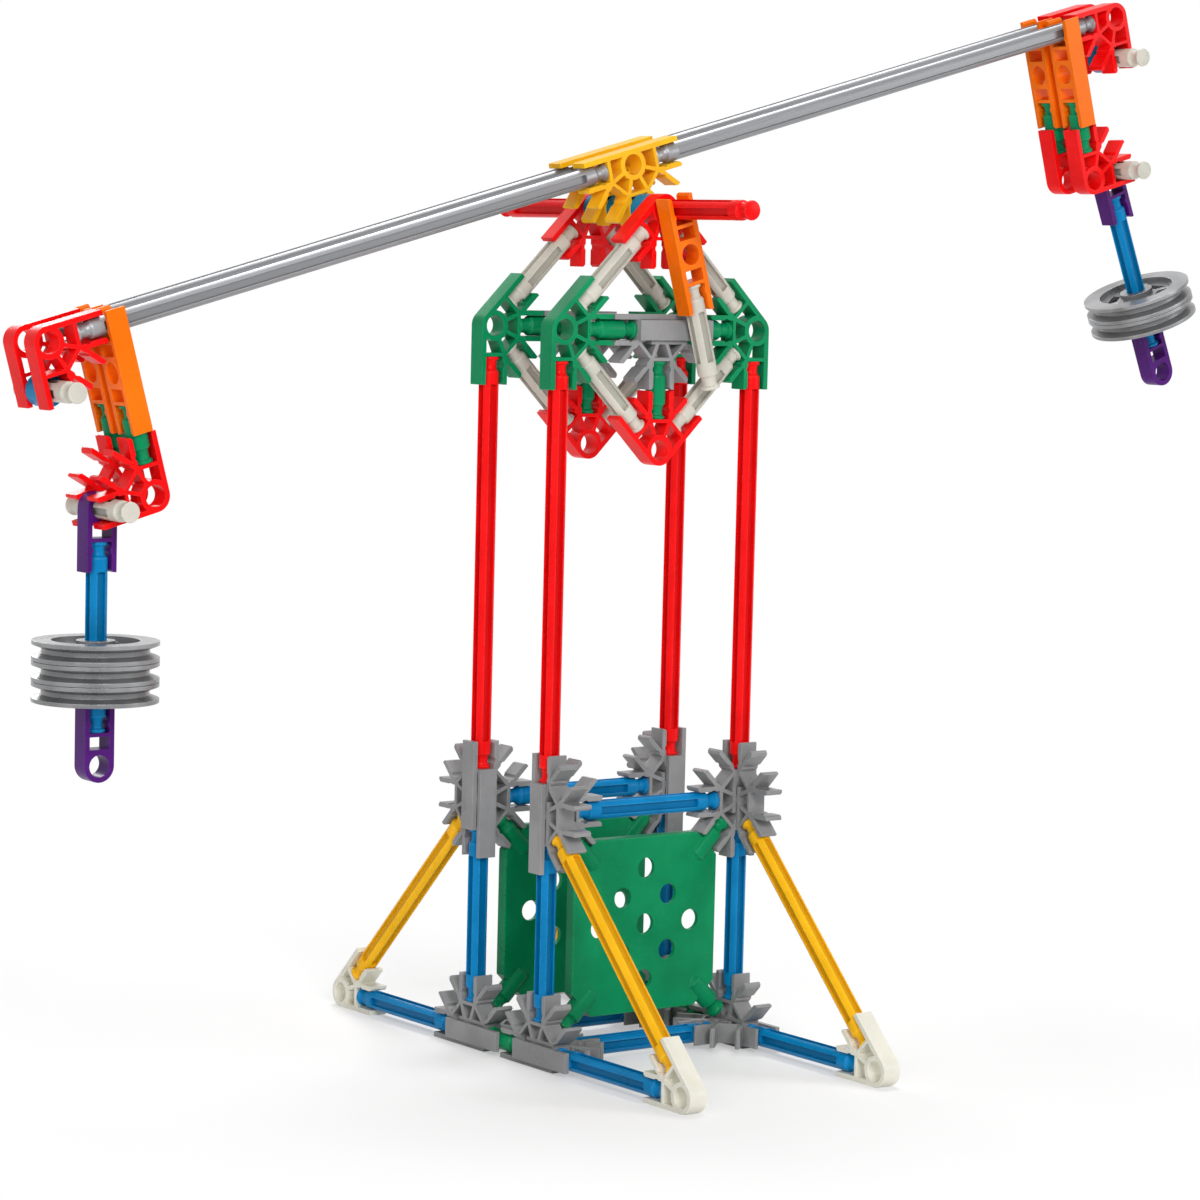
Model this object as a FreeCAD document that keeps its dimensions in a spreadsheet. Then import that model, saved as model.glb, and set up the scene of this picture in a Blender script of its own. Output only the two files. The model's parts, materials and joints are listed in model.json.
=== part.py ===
import FreeCAD, Part
import os
import Sketcher

# A lever balance that demonstrates loads, pulleys and moments, built from a rod-and-connector
# construction kit. A four-post tower carries an axle between two bearing connectors. A pair of long
# grey rods turns with the axle as one beam, and a hanger loaded with pulley wheels swings from each end.
#
# Frame: X runs along the level beam, Y runs from the front frame to the back frame, Z is up.
# The origin is on the table, midway between the four posts.

DOCUMENT = FreeCAD.newDocument("Balance")

SIZES = (
    # The kit's lattice: hubs joined by the shortest rod stand one bay apart.
    ("bay", 36.75),
    ("reach", 9.5),
    # Rods
    ("rod_radius", 3.1),
    ("flange_radius", 3.0),
    ("flange_length", 1.0),
    ("flange_chamfer", 0.3),
    ("neck_radius", 2.2),
    ("neck_end", 4.5),
    ("plain_end", 8.6),
    ("groove_width", 2.4),
    ("groove_depth", 1.1),
    # Connectors
    ("plate", 6.2),
    ("jaw_play", 0.05),
    ("jaw_wall", 1.6),
    ("tip_play", 0.175),
    ("mouth_chamfer", 0.7),
    ("bulge_height", 0.45),
    ("bulge_half", 0.9),
    ("bulge_place", 2.5),
    ("side_grip", 14.0),
    ("floor_wall", 1.1),
    ("spoke_wall", 1.2),
    ("spoke_bite", 0.5),
    ("running", 0.08),
    ("slot_play", 0.05),
    # Square panels
    ("panel_half", 27.5),
    ("panel_front", 1.7),
    ("panel_wall", 1.6),
    ("panel_depth", 4.0),
    ("panel_play", 0.4),
    ("panel_hole", 3.2),
    ("panel_hole_pitch", 8.75),
    ("stub_root", 25.0),
    # Spacers and side gaps
    ("spacer_radius", 4.7),
    ("side_play", 0.035),
    ("face_play", 0.02),
    ("clip_play", 0.3),
    ("pin_shift", 2.8),
    # Pulley wheels
    ("wheel_radius", 18.2),
    ("wheel_width", 5.8),
    ("wheel_play", 0.1),
    ("wheel_flange", 1.2),
    ("wheel_groove", 2.8),
    ("wheel_groove_floor", 1.4),
    ("wheel_rim", 12.6),
    ("wheel_web", 1.6),
    ("wheel_hub", 5.6),
    ("wheel_spoke", 2.2),
    ("boss_radius", 1.7),
    ("boss_hole", 0.9),
    ("boss_place", 9.1),
    # Resting angles, in degrees
    ("beam_tilt", 15.5),
    ("left_lean", 0.0),
    ("right_lean", 22.0),
)

# Neighbouring sockets stand this many degrees apart.
SOCKET_STEP = 45.0
HALF_STEP = SOCKET_STEP / 2
SLOTTED_SOCKETS = 4
PANEL_CORNERS = 4
GROOVES_PER_ROD = 4
WHEEL_WINDOWS = 6
WHEEL_BOSSES = 2
LEFT_WHEELS = 3
RIGHT_WHEELS = 2

# Places of the tower's hubs, in bays: levels above the lowest hubs, and the places along Y of the two
# frames and of the feet.
MID_LEVEL = 2
KEEL_LEVEL = 5
HEAD_LEVEL = 6
AXLE_LEVEL = 7
FRAME_PLACE = 0.5
FOOT_PLACE = 2.5

sheet = DOCUMENT.addObject("Spreadsheet::Sheet", "Sizes")
for row, (alias, number) in enumerate(SIZES, start=1):
    sheet.set(f"A{row}", alias)
    sheet.set(f"B{row}", str(number))
    sheet.setAlias(f"B{row}", alias)
DOCUMENT.recompute()

# Derived sizes, as expressions on the sheet's cells.
GAP = "(Sizes.rod_radius + Sizes.jaw_play)"
BACK = "(Sizes.rod_radius + Sizes.jaw_play + Sizes.jaw_wall)"
BORE = "(Sizes.rod_radius + Sizes.running)"
TIP = "(Sizes.bay / 2 - Sizes.tip_play)"
FLOOR = "(Sizes.reach - Sizes.floor_wall)"
SLOT = "(Sizes.plate / 2 + Sizes.slot_play)"
SLOT_RIB = f"({SLOT} + Sizes.spoke_wall)"
THROUGH = "(4 * Sizes.plate)"
RAY = f"tan({HALF_STEP})"
BULGE_START = "(Sizes.reach + Sizes.bulge_place - Sizes.bulge_half)"
BULGE_END = "(Sizes.reach + Sizes.bulge_place + Sizes.bulge_half)"
PAIR = "(Sizes.plate + Sizes.side_play)"
# Each longer rod joins hubs the square root of two times further apart than the one before.
SHORT_PITCH = "Sizes.bay"
STRUT_PITCH = "(sqrt(2) * Sizes.bay)"
MIDDLE_PITCH = "(2 * Sizes.bay)"
BRACE_PITCH = "(2 * sqrt(2) * Sizes.bay)"
POST_PITCH = "(4 * Sizes.bay)"
BEAM_END = "(4 * sqrt(2) * Sizes.bay)"
CLIP_PLACE = f"({BEAM_END} - {TIP} - Sizes.plate / 2 - Sizes.clip_play)"
PIN_PLACE = f"({CLIP_PLACE} + Sizes.side_grip)"
AXLE_HEIGHT = f"({BACK} + {AXLE_LEVEL} * Sizes.bay)"
AXLE_SPACER = "(Sizes.bay / 2 - 2 * Sizes.plate - Sizes.side_play - 2 * Sizes.face_play)"
POINTER_PLACE = f"(Sizes.bay / 2 + {BACK} + Sizes.plate / 2 + Sizes.clip_play)"

X = FreeCAD.Vector(1, 0, 0)
Y = FreeCAD.Vector(0, 1, 0)
Z = FreeCAD.Vector(0, 0, 1)


def value(expression):
    """The number that an expression on the sheet comes to."""
    return float(sheet.evalExpression(str(expression)))


def origin_plane(body, role):
    """The origin plane of a body that plays the role, such as XY_Plane."""
    return next(feature for feature in body.Origin.OriginFeatures if feature.Role == role)


def new_body(name):
    """An empty PartDesign body."""
    body = DOCUMENT.addObject("PartDesign::Body", name)
    body.Label = name
    return body


def new_sketch(body, name, role="XY_Plane", turn=0.0, lift="0"):
    """A sketch on an origin plane, turned about the plane's normal and lifted along it."""
    sketch = body.newObject("Sketcher::SketchObject", name)
    sketch.AttachmentSupport = [(origin_plane(body, role), "")]
    sketch.MapMode = "FlatFace"
    sketch.AttachmentOffset = FreeCAD.Placement(FreeCAD.Vector(0, 0, 0), FreeCAD.Rotation(Z, turn))
    sketch.setExpression(".AttachmentOffset.Base.z", lift)
    return sketch


def add_outline(sketch, corners):
    """Close a loop through corners given as expressions.

    A corner with a third item starts an arc of that sagitta, to the right of the way round.
    """
    first = sketch.GeometryCount
    count = len(corners)
    points = [FreeCAD.Vector(value(corner[0]), value(corner[1]), 0) for corner in corners]
    starts = []
    ends = []
    rules = []
    bindings = []
    for number, corner in enumerate(corners):
        start = points[number]
        end = points[(number + 1) % count]
        geometry = first + number
        if len(corner) == 2:
            sketch.addGeometry(Part.LineSegment(start, end), False)
            starts.append((geometry, 1))
            ends.append((geometry, 2))
            continue
        chord = end - start
        sagitta = value(corner[2])
        side = FreeCAD.Vector(chord.y, -chord.x, 0).normalize()
        middle = (start + end) * 0.5 + side * sagitta
        sketch.addGeometry(Part.Arc(start, middle, end), False)
        runs_on = sagitta > 0
        starts.append((geometry, 1 if runs_on else 2))
        ends.append((geometry, 2 if runs_on else 1))
        half_chord = f"(({corners[(number + 1) % count][0]}) - ({corner[0]}))"
        other_half = f"(({corners[(number + 1) % count][1]}) - ({corner[1]}))"
        square = f"(({half_chord})^2 + ({other_half})^2) / 4"
        radius = f"(({square}) + ({corner[2]})^2) / (2 * abs({corner[2]}))"
        rules.append(Sketcher.Constraint("Radius", geometry, value(radius)))
        bindings.append(radius)
    for number, corner in enumerate(corners):
        rules.append(Sketcher.Constraint("DistanceX", -1, 1, *starts[number], points[number].x))
        rules.append(Sketcher.Constraint("DistanceY", -1, 1, *starts[number], points[number].y))
        bindings += [corner[0], corner[1]]
    for number in range(count):
        rules.append(Sketcher.Constraint("Coincident", *ends[number], *starts[(number + 1) % count]))
    base = sketch.ConstraintCount
    sketch.addConstraint(rules)
    for number, expression in enumerate(bindings):
        sketch.setExpression(f"Constraints[{base + number}]", str(expression))


def add_circle(sketch, x, y, radius):
    """A circle whose centre and radius are expressions."""
    centre = FreeCAD.Vector(value(x), value(y), 0)
    geometry = sketch.addGeometry(Part.Circle(centre, Z, value(radius)), False)
    base = sketch.ConstraintCount
    rules = [
        Sketcher.Constraint("DistanceX", -1, 1, geometry, 3, centre.x),
        Sketcher.Constraint("DistanceY", -1, 1, geometry, 3, centre.y),
        Sketcher.Constraint("Radius", geometry, value(radius)),
    ]
    sketch.addConstraint(rules)
    for number, expression in enumerate((x, y, radius)):
        sketch.setExpression(f"Constraints[{base + number}]", str(expression))


def rectangle(left, low, right, high):
    """Corners of an upright rectangle, the way round that keeps its inside on the left."""
    return [(left, low), (right, low), (right, high), (left, high)]


def feature(body, kind, name, sketch, length, symmetric=True):
    """A pad or pocket of a sketch, by default shared equally between both sides of its plane."""
    made = body.newObject(f"PartDesign::{kind}", name)
    made.Profile = sketch
    made.SideType = "Symmetric" if symmetric else "One side"
    made.setExpression("Length", str(length))
    return made


def through(body, name, sketch):
    """A hole that goes right through a plate centred on the sketch's plane."""
    return feature(body, "Pocket", name, sketch, THROUGH)


def repeated(body, name, originals, count, angle):
    """A polar pattern of features about the normal of their sketch."""
    pattern = body.newObject("PartDesign::PolarPattern", name)
    pattern.Originals = originals
    pattern.Axis = (originals[0].Profile[0], ["N_Axis"])
    pattern.Angle = angle
    pattern.Occurrences = count
    body.Tip = pattern
    return pattern


# --- Connectors ---------------------------------------------------------------------------------
# Every connector is a flat plate with its hub at the origin. Its sockets point away from the hub
# 45 degrees apart, starting along X. A rod end stands in a socket with its face on the floor.


def socket_outline():
    """The floor and the two jaws of a socket along X, cut off along the rays to its neighbours."""
    mouth = "Sizes.mouth_chamfer"
    lower = [
        (FLOOR, f"-{FLOOR} * {RAY}"),
        (f"{BACK} / {RAY}", f"-{BACK}"),
        (TIP, f"-{BACK}"),
        (TIP, f"-({GAP} + {mouth})"),
        (f"{TIP} - {mouth}", f"-{GAP}"),
        (BULGE_END, f"-{GAP}", "-Sizes.bulge_height"),
        (BULGE_START, f"-{GAP}"),
        ("Sizes.reach", f"-{GAP}"),
    ]
    upper = [
        ("Sizes.reach", GAP),
        (BULGE_START, GAP, "-Sizes.bulge_height"),
        (BULGE_END, GAP),
        (f"{TIP} - {mouth}", GAP),
        (TIP, f"({GAP} + {mouth})"),
        (TIP, BACK),
        (f"{BACK} / {RAY}", BACK),
        (FLOOR, f"{FLOOR} * {RAY}"),
    ]
    return lower + upper


def mouth_outline():
    """The space of a socket along X, from its floor to past its jaws' tips."""
    mouth = "Sizes.mouth_chamfer"
    past = f"({TIP} + {mouth})"
    return [
        ("Sizes.reach", f"-{GAP}"),
        (BULGE_START, f"-{GAP}", "-Sizes.bulge_height"),
        (BULGE_END, f"-{GAP}"),
        (f"{TIP} - {mouth}", f"-{GAP}"),
        (past, f"-({GAP} + 2 * {mouth})"),
        (past, f"({GAP} + 2 * {mouth})"),
        (f"{TIP} - {mouth}", GAP),
        (BULGE_END, GAP, "-Sizes.bulge_height"),
        (BULGE_START, GAP),
        ("Sizes.reach", GAP),
    ]


def add_sockets(body, count):
    """The sockets of a fan, side by side."""
    sketch = new_sketch(body, "SocketSketch")
    add_outline(sketch, socket_outline())
    socket = feature(body, "Pad", "Socket", sketch, "Sizes.plate")
    repeated(body, "Sockets", [socket], count, SOCKET_STEP * (count - 1))


def add_spokes(body, name, inner, count, start):
    """Thin spokes from near the hub to the roots of the jaws, first at the angle start."""
    sketch = new_sketch(body, f"{name}Sketch", turn=start)
    half = "Sizes.spoke_wall / 2"
    outer = f"{FLOOR} / cos({HALF_STEP}) + Sizes.spoke_bite"
    add_outline(sketch, rectangle(inner, f"-{half}", outer, half))
    spoke = feature(body, "Pad", name, sketch, "Sizes.plate")
    if count > 1:
        repeated(body, f"{name}Set", [spoke], count, SOCKET_STEP * (count - 1))


def add_hub_hole(body):
    """The hub's bore, in which a rod turns."""
    sketch = new_sketch(body, "HubHoleSketch")
    add_circle(sketch, "0", "0", BORE)
    through(body, "HubHole", sketch)


def fan_connector(name, count):
    """A connector with a bored hub, a fan of sockets and a straight wall along each outer socket."""
    body = new_body(name)
    hub = new_sketch(body, "HubSketch")
    add_circle(hub, "0", "0", BACK)
    feature(body, "Pad", "Hub", hub, "Sizes.plate")
    first_wall = new_sketch(body, "FirstWallSketch")
    add_outline(first_wall, rectangle("0", f"-{BACK}", TIP, f"-{GAP}"))
    feature(body, "Pad", "FirstWall", first_wall, "Sizes.plate")
    last_wall = new_sketch(body, "LastWallSketch", turn=SOCKET_STEP * (count - 1))
    add_outline(last_wall, rectangle("0", GAP, TIP, BACK))
    feature(body, "Pad", "LastWall", last_wall, "Sizes.plate")
    add_sockets(body, count)
    add_spokes(body, "Spoke", f"{BORE} + Sizes.spoke_bite", count - 1, HALF_STEP)
    add_hub_hole(body)
    return body


def slotted_connector(name):
    """A four-socket connector with a flat back and, opposite its first socket, a slot to the hub.

    Two of them slide into each other's slots at right angles and make a corner.
    """
    body = new_body(name)
    back = new_sketch(body, "BackSketch")
    add_outline(back, rectangle("-Sizes.reach", f"-{BACK}", TIP, f"-{SLOT}"))
    feature(body, "Pad", "Back", back, "Sizes.plate")
    stop = new_sketch(body, "SlotEndSketch")
    add_outline(stop, rectangle("Sizes.slot_play", f"-{BACK}", "Sizes.spoke_wall", SLOT_RIB))
    feature(body, "Pad", "SlotEnd", stop, "Sizes.plate")
    rib = new_sketch(body, "SlotRibSketch")
    add_outline(rib, rectangle("-Sizes.reach", SLOT, f"{FLOOR} / 2", SLOT_RIB))
    feature(body, "Pad", "SlotRib", rib, "Sizes.plate")
    add_sockets(body, SLOTTED_SOCKETS)
    add_spokes(body, "InnerSpoke", "Sizes.spoke_wall", 1, HALF_STEP)
    inner = f"{SLOT_RIB} - Sizes.spoke_bite / 2"
    add_spokes(body, "Spoke", inner, SLOTTED_SOCKETS - 2, HALF_STEP + SOCKET_STEP)
    return body


def add_windows_and_mouths(body, count):
    """Opens the sockets of a straight connector and the windows between their floors and the hub."""
    mouth_sketch = new_sketch(body, "MouthSketch")
    add_outline(mouth_sketch, mouth_outline())
    mouth = through(body, "Mouth", mouth_sketch)
    if count > 1:
        repeated(body, "Mouths", [mouth], count, 360)
    window_sketch = new_sketch(body, "WindowSketch")
    add_outline(window_sketch, rectangle(BACK, f"-{GAP}", FLOOR, GAP))
    window = through(body, "Window", window_sketch)
    if count > 1:
        repeated(body, "Windows", [window], count, 360)


def straight_connector(name):
    """A narrow connector with a socket at each end."""
    body = new_body(name)
    outline = new_sketch(body, "OutlineSketch")
    add_outline(outline, rectangle(f"-{TIP}", f"-{BACK}", TIP, BACK))
    feature(body, "Pad", "Outline", outline, "Sizes.plate")
    add_windows_and_mouths(body, 2)
    add_hub_hole(body)
    return body


def ring_clip(name):
    """A narrow connector with one socket and a ring."""
    body = new_body(name)
    ring = new_sketch(body, "RingSketch")
    add_circle(ring, "0", "0", BACK)
    feature(body, "Pad", "Ring", ring, "Sizes.plate")
    arm = new_sketch(body, "ArmSketch")
    add_outline(arm, rectangle("0", f"-{BACK}", TIP, BACK))
    feature(body, "Pad", "Arm", arm, "Sizes.plate")
    add_windows_and_mouths(body, 1)
    add_hub_hole(body)
    return body


# --- Rods ---------------------------------------------------------------------------------------
# A rod lies along Z with its middle at the origin. It joins hubs a pitch apart.


def rod_length(pitch):
    """The length of the rod that joins two hubs a pitch apart."""
    return f"({pitch} - 2 * Sizes.reach)"


def rod(name, pitch, grooved=True):
    """A turned rod with a necked end at each tip and four long grooves between."""
    half = f"({rod_length(pitch)} / 2)"
    flange = "Sizes.flange_radius"
    edge = "Sizes.flange_chamfer"
    sagitta = "-((Sizes.rod_radius + Sizes.flange_radius) / 2 - Sizes.neck_radius)"
    body = new_body(name)
    profile = new_sketch(body, "ProfileSketch", role="XZ_Plane")
    corners = [
        ("0", f"-{half}"),
        (f"{flange} - {edge}", f"-{half}"),
        (flange, f"-{half} + {edge}"),
        (flange, f"-{half} + Sizes.flange_length", sagitta),
        ("Sizes.rod_radius", f"-{half} + Sizes.neck_end"),
        ("Sizes.rod_radius", f"{half} - Sizes.neck_end", sagitta),
        (flange, f"{half} - Sizes.flange_length"),
        (flange, f"{half} - {edge}"),
        (f"{flange} - {edge}", half),
        ("0", half),
    ]
    add_outline(profile, corners)
    turned = body.newObject("PartDesign::Revolution", "Turned")
    turned.Profile = profile
    turned.ReferenceAxis = (profile, ["V_Axis"])
    turned.Angle = 360
    if not grooved:
        return body
    groove_sketch = new_sketch(body, "GrooveSketch")
    low = "Sizes.rod_radius - Sizes.groove_depth"
    high = "Sizes.rod_radius + Sizes.groove_depth"
    side = "Sizes.groove_width / 2"
    add_outline(groove_sketch, rectangle(low, f"-{side}", high, side))
    length = f"{rod_length(pitch)} - 2 * Sizes.plain_end"
    groove = feature(body, "Pocket", "Groove", groove_sketch, length)
    repeated(body, "Grooves", [groove], GROOVES_PER_ROD, 360)
    return body


# --- Panels, spacers and wheels -----------------------------------------------------------------


def panel(name):
    """A shallow square tray with nine holes and a rod end on each cut corner, facing Z."""
    body = new_body(name)
    cut = f"((Sizes.bay * sqrt(2) - {TIP} - Sizes.panel_play) * sqrt(2) - Sizes.panel_half)"
    inset = "Sizes.panel_wall"
    back_face = "(Sizes.panel_front - Sizes.panel_depth)"

    def octagon(half, corner):
        return [
            (f"-{corner}", f"-{half}"),
            (corner, f"-{half}"),
            (half, f"-{corner}"),
            (half, corner),
            (corner, half),
            (f"-{corner}", half),
            (f"-{half}", corner),
            (f"-{half}", f"-{corner}"),
        ]

    tray = new_sketch(body, "TraySketch", lift=back_face)
    add_outline(tray, octagon("Sizes.panel_half", cut))
    feature(body, "Pad", "Tray", tray, "Sizes.panel_depth", symmetric=False)
    hollow = new_sketch(body, "HollowSketch", lift=back_face)
    add_outline(hollow, octagon(f"(Sizes.panel_half - {inset})", f"({cut} - {inset} * {RAY})"))
    pocket = feature(body, "Pocket", "Hollow", hollow, f"Sizes.panel_depth - {inset}", symmetric=False)
    pocket.Reversed = True
    stub = new_sketch(body, "StubSketch", turn=SOCKET_STEP)
    tip = "(Sizes.bay * sqrt(2) - Sizes.reach)"
    sagitta = "-((Sizes.rod_radius + Sizes.flange_radius) / 2 - Sizes.neck_radius)"
    corners = [
        ("Sizes.stub_root", "0"),
        (tip, "0"),
        (tip, "Sizes.flange_radius"),
        (f"{tip} - Sizes.flange_length", "Sizes.flange_radius", sagitta),
        (f"{tip} - Sizes.neck_end", "Sizes.rod_radius"),
        ("Sizes.stub_root + Sizes.rod_radius", "Sizes.rod_radius"),
    ]
    add_outline(stub, corners)
    turned = body.newObject("PartDesign::Revolution", "Stub")
    turned.Profile = stub
    turned.ReferenceAxis = (stub, ["H_Axis"])
    turned.Angle = 360
    repeated(body, "Stubs", [turned], PANEL_CORNERS, 360)
    holes = new_sketch(body, "HolesSketch")
    step = "Sizes.panel_hole_pitch"
    places = [(0, 0), (1, 1), (1, -1), (-1, 1), (-1, -1), (2, 0), (-2, 0), (0, 2), (0, -2)]
    for across, up in places:
        add_circle(holes, f"{across} * {step}", f"{up} * {step}", "Sizes.panel_hole")
    through(body, "Holes", holes)
    return body


def spacer(name, width):
    """A plain ring that slides on a rod."""
    body = new_body(name)
    ring = new_sketch(body, "RingSketch")
    add_circle(ring, "0", "0", "Sizes.spacer_radius")
    add_circle(ring, "0", "0", BORE)
    feature(body, "Pad", "Ring", ring, width)
    return body


def wheel(name):
    """A pulley wheel with a rope groove, a spoked web and two small bosses."""
    half = "(Sizes.wheel_width / 2)"
    outer = "Sizes.wheel_radius"
    floor = f"({outer} - Sizes.wheel_groove)"
    floor_half = "(Sizes.wheel_groove_floor / 2)"
    web = "(Sizes.wheel_web / 2)"
    shoulder = f"({half} - Sizes.wheel_flange)"
    body = new_body(name)
    profile = new_sketch(body, "ProfileSketch", role="XZ_Plane")
    corners = [
        (BORE, f"-{half}"),
        ("Sizes.wheel_hub", f"-{half}"),
        ("Sizes.wheel_hub", f"-{web}"),
        ("Sizes.wheel_rim", f"-{web}"),
        ("Sizes.wheel_rim", f"-{half}"),
        (outer, f"-{half}"),
        (outer, f"-{shoulder}"),
        (floor, f"-{floor_half}"),
        (floor, floor_half),
        (outer, shoulder),
        (outer, half),
        ("Sizes.wheel_rim", half),
        ("Sizes.wheel_rim", web),
        ("Sizes.wheel_hub", web),
        ("Sizes.wheel_hub", half),
        (BORE, half),
    ]
    add_outline(profile, corners)
    turned = body.newObject("PartDesign::Revolution", "Turned")
    turned.Profile = profile
    turned.ReferenceAxis = (profile, ["V_Axis"])
    turned.Angle = 360
    window_sketch = new_sketch(body, "WindowSketch")
    half_angle = f"(180 / {WHEEL_WINDOWS})"
    rim = "(Sizes.wheel_rim - Sizes.wheel_spoke / 2)"
    hub = "(Sizes.wheel_hub + Sizes.wheel_spoke / 2)"
    spoke = f"(Sizes.wheel_spoke / 2 / cos{half_angle})"
    corners = [
        (hub, f"-({hub} * tan{half_angle} - {spoke})"),
        (f"{rim} * cos{half_angle}", f"-({rim} * sin{half_angle} - {spoke})"),
        (f"{rim} * cos{half_angle}", f"({rim} * sin{half_angle} - {spoke})"),
        (hub, f"({hub} * tan{half_angle} - {spoke})"),
    ]
    add_outline(window_sketch, corners)
    window = feature(body, "Pocket", "Window", window_sketch, "2 * Sizes.wheel_web")
    repeated(body, "Windows", [window], WHEEL_WINDOWS, 360)
    boss_sketch = new_sketch(body, "BossSketch", turn=180 / WHEEL_WINDOWS)
    add_circle(boss_sketch, "Sizes.boss_place", "0", "Sizes.boss_radius")
    boss = feature(body, "Pad", "Boss", boss_sketch, "Sizes.wheel_width - 2 * Sizes.wheel_flange")
    repeated(body, "Bosses", [boss], WHEEL_BOSSES, 360)
    drill_sketch = new_sketch(body, "DrillSketch", turn=180 / WHEEL_WINDOWS)
    add_circle(drill_sketch, "Sizes.boss_place", "0", "Sizes.boss_hole")
    drill = through(body, "Drill", drill_sketch)
    repeated(body, "Drills", [drill], WHEEL_BOSSES, 360)
    return body


# --- Placing copies -----------------------------------------------------------------------------

NODES = []


def copy_of(kind, at, x_way, y_way):
    """A linked copy of a kind, with its own X and Y turned to two directions."""
    link = DOCUMENT.addObject("App::Link", f"{kind.Name}Copy")
    link.LinkedObject = kind
    turn = FreeCAD.Rotation(x_way, y_way, x_way.cross(y_way), "XYZ")
    link.Placement = FreeCAD.Placement(FreeCAD.Vector(0, 0, 0), turn)
    for letter, expression in zip("xyz", at):
        link.setExpression(f".Placement.Base.{letter}", str(expression))
    return link


def rod_along(kind, at, way):
    """A linked copy of a rod, its length turned to a direction."""
    side = Y if abs(way.dot(Y)) < 0.5 else X
    return copy_of(kind, at, side.cross(way), side)


def node(name, copies, base=None, lean=None):
    """A sub-part made of copies, which may be moved to a base and leant about the axle's direction.

    A positive lean lifts what lies towards X.
    """
    group = DOCUMENT.addObject("Part::Compound", name)
    group.Label = name
    group.Links = copies
    group.Placement = FreeCAD.Placement(FreeCAD.Vector(0, 0, 0), FreeCAD.Rotation(-Y, 1))
    group.setExpression(".Placement.Rotation.Angle", f"({lean or 0}) * 1 deg")
    for letter, expression in zip("xyz", base or ("0", "0", "0")):
        group.setExpression(f".Placement.Base.{letter}", str(expression))
    NODES.append(group)


def hub_at(across, along, up):
    """A hub of the tower's lattice: counts of bays along X, Y and up from the lowest hubs."""
    return (f"{across} * Sizes.bay", f"{along} * Sizes.bay", f"{BACK} + {up} * Sizes.bay")


short_rod = rod("short_rod", SHORT_PITCH, grooved=False)
strut_rod = rod("strut_rod", STRUT_PITCH)
middle_rod = rod("middle_rod", MIDDLE_PITCH)
brace_rod = rod("brace_rod", BRACE_PITCH)
post_rod = rod("post_rod", POST_PITCH)
beam_rod = rod("beam_rod", BEAM_END)
foot_fan = fan_connector("foot_fan", 2)
corner_fan = fan_connector("corner_fan", 3)
head_fan = fan_connector("head_fan", 4)
beam_fan = fan_connector("beam_fan", 5)
slotted_fan = slotted_connector("slotted_fan")
double_clip = straight_connector("double_clip")
end_clip = ring_clip("end_clip")
tray_panel = panel("tray_panel")
axle_spacer = spacer("axle_spacer", AXLE_SPACER)
pair_spacer = spacer("pair_spacer", "Sizes.plate")
pulley_wheel = wheel("pulley_wheel")

SIDES = (-1, 1)
CORNERS = [(side, end) for side in SIDES for end in SIDES]
FRAMES = [FRAME_PLACE * end for end in SIDES]
MID_FOOT = (FRAME_PLACE + FOOT_PLACE) / 2
HEAD_DROP = (KEEL_LEVEL + HEAD_LEVEL) / 2
HEAD_RISE = (HEAD_LEVEL + AXLE_LEVEL) / 2

# Lowest level: corners of two interlocked connectors, the rods between them and the four feet.
uprights = []
flats = []
for side, end in CORNERS:
    place = hub_at(side, FRAME_PLACE * end, 0)
    uprights.append(copy_of(slotted_fan, place, Y, Z))
    flats.append(copy_of(slotted_fan, place, -Y, X * -side))
foot_places = [hub_at(side, MID_FOOT * end, 0) for side, end in CORNERS]
feet = [copy_of(foot_fan, hub_at(side, FOOT_PLACE * end, 0), Y * -end, Z) for side, end in CORNERS]
node("base_corner_uprights", uprights)
node("base_corner_flats", flats)
node("base_cross_rods", [rod_along(middle_rod, hub_at(0, frame, 0), X) for frame in FRAMES])
node("base_tie_rods", [rod_along(short_rod, hub_at(side, 0, 0), Y) for side in SIDES])
node("foot_rods", [rod_along(middle_rod, place, Y) for place in foot_places])
node("feet", feet)

# Middle level: another four interlocked corners, on the lower posts, braced from the feet.
lower_posts = []
braces = []
brace_plates = []
cross_plates = []
for side, end in CORNERS:
    lower_posts.append(rod_along(middle_rod, hub_at(side, FRAME_PLACE * end, MID_LEVEL / 2), Z))
    inward = (Z - Y * end).normalize()
    braces.append(rod_along(brace_rod, hub_at(side, MID_FOOT * end, MID_LEVEL / 2), inward))
    place = hub_at(side, FRAME_PLACE * end, MID_LEVEL)
    brace_plates.append(copy_of(slotted_fan, place, Z * -end, Y * end))
    cross_plates.append(copy_of(slotted_fan, place, Z * end, X * -side))
node("lower_posts", lower_posts)
node("brace_rods", braces)
node("mid_corner_brace_plates", brace_plates)
node("mid_corner_cross_plates", cross_plates)
node("mid_cross_rods", [rod_along(middle_rod, hub_at(0, frame, MID_LEVEL), X) for frame in FRAMES])
for label, frame in zip(("front", "back"), FRAMES):
    node(f"{label}_panel", [copy_of(tray_panel, hub_at(0, frame, MID_LEVEL / 2), X, Z)])

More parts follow.
